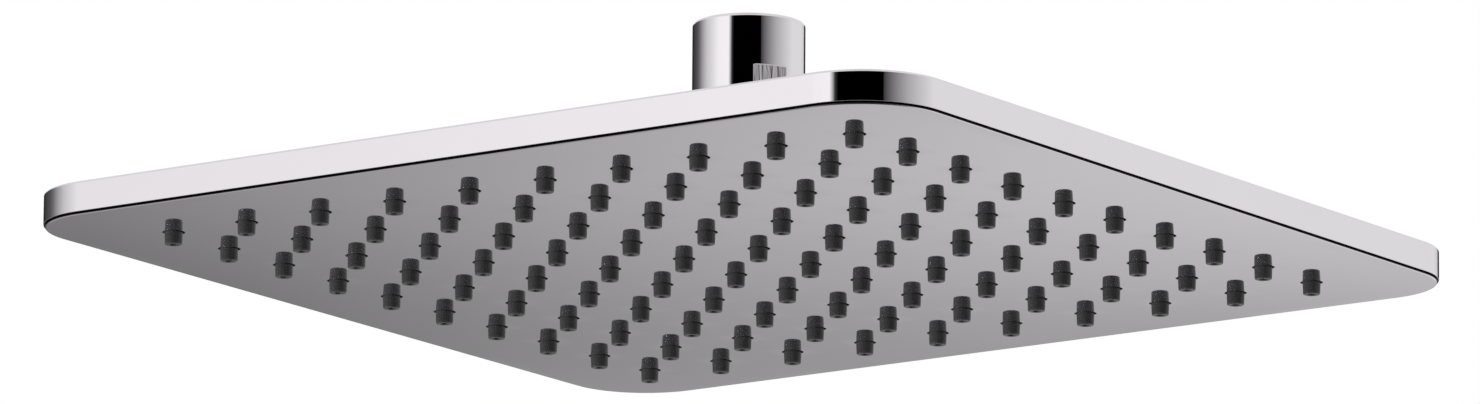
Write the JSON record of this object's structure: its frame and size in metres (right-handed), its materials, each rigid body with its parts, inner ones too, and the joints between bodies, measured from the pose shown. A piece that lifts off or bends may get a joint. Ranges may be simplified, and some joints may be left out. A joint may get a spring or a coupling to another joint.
{
  "type": "rain shower head",
  "caption": "Square overhead rain shower head: thin chromed body, grid of rubber nozzles, swivel ball connector with a threaded inlet.",
  "frame": {"origin": "centre of the inlet thread's mouth, at the top of the swivel connector", "axes": "+Z along the inlet thread, away from the head; X and Y along the sides of the square head at rest"},
  "size_m": [0.25, 0.25, 0.0609],
  "materials": {
    "plated_plastic": "mirror chrome plating on moulded ABS",
    "plated_brass": "mirror chrome plating on turned brass",
    "bare_brass": "turned, unplated",
    "nozzle_rubber": "dark grey silicone, satin",
    "seal_rubber": "black, smooth",
    "moulded_plastic": "light grey ABS, as moulded",
    "bearing_plastic": "white acetal, smooth",
    "stainless": "stainless steel, drawn"
  },
  "bodies": {
    "connector": {"swivel_connector": "plated_brass", "inlet_washer": "seal_rubber", "filter_screen": "stainless", "flow_regulator": "bearing_plastic", "regulator_o_ring": "seal_rubber"},
    "friction_ring": {"friction_ring": "bearing_plastic"},
    "ball_seal": {"ball_seal": "seal_rubber"},
    "head": {"face_plate": "plated_plastic", "nozzle_mat": "nozzle_rubber", "chamber_seal": "seal_rubber", "chamber_plate": "moulded_plastic", "chamber_screw_01": "stainless", "chamber_screw_02": "stainless", "chamber_screw_03": "stainless", "chamber_screw_04": "stainless", "chamber_screw_05": "stainless", "chamber_screw_06": "stainless", "chamber_screw_07": "stainless", "chamber_screw_08": "stainless", "chamber_screw_09": "stainless", "chamber_screw_10": "stainless", "chamber_screw_11": "stainless", "chamber_screw_12": "stainless", "flange_screw_1": "stainless", "flange_screw_2": "stainless", "flange_screw_3": "stainless", "flange_screw_4": "stainless", "socket_gasket": "seal_rubber", "ball_socket": "bare_brass", "rear_cover": "plated_plastic", "nut_washer": "bearing_plastic", "ball_nut": "plated_brass"}
  },
  "joints": [
    {"name": "tilt_x", "type": "hinge", "parent": "connector", "child": "friction_ring", "pos_m": [0, 0, -0.0342], "axis": [1, 0, 0], "range_deg": [-15, 15]},
    {"name": "tilt_y", "type": "hinge", "parent": "friction_ring", "child": "ball_seal", "pos_m": [0, 0, -0.0342], "axis": [0, 1, 0], "range_deg": [-15, 15]},
    {"name": "spin", "type": "hinge", "parent": "ball_seal", "child": "head", "pos_m": [0, 0, -0.0342], "axis": [0, 0, 1], "continuous": true}
  ]
}
